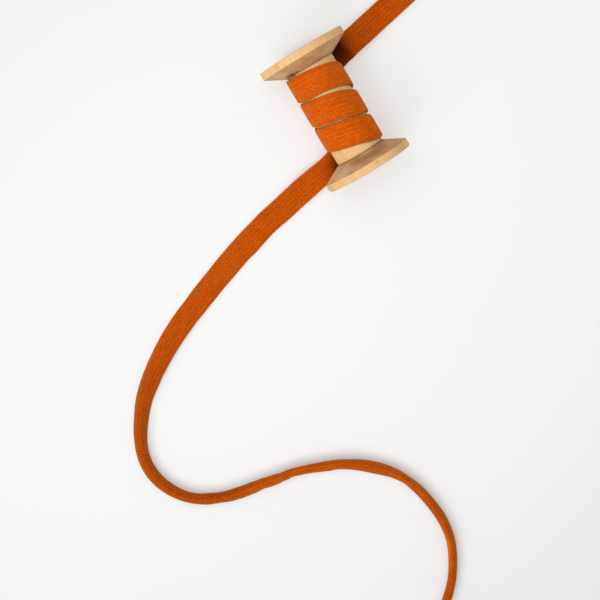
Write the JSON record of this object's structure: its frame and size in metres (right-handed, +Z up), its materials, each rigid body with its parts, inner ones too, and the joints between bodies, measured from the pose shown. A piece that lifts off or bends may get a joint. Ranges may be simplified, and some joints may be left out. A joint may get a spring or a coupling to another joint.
{
  "type": "flat drawstring cord on a wooden spool",
  "caption": "Flat braided cotton drawstring cord wound on a turned wooden spool that lies on its side, with both loose ends of the cord laid out over the table.",
  "frame": {"origin": "on the table, under the middle of the spool", "axes": "+Y along the spool's axis, towards the flange that the short loose end leaves beside; +X to the side that the short loose end leaves on; +Z up from the table"},
  "size_m": [0.2983, 0.3284, 0.0451],
  "materials": {
    "turned_wood": "sanded, unvarnished",
    "cotton_cord": "matt braided cotton"
  },
  "bodies": {
    "root": {"spool": "turned_wood", "winding": "cotton_cord", "long_end": "cotton_cord", "short_end": "cotton_cord"}
  },
  "joints": []
}
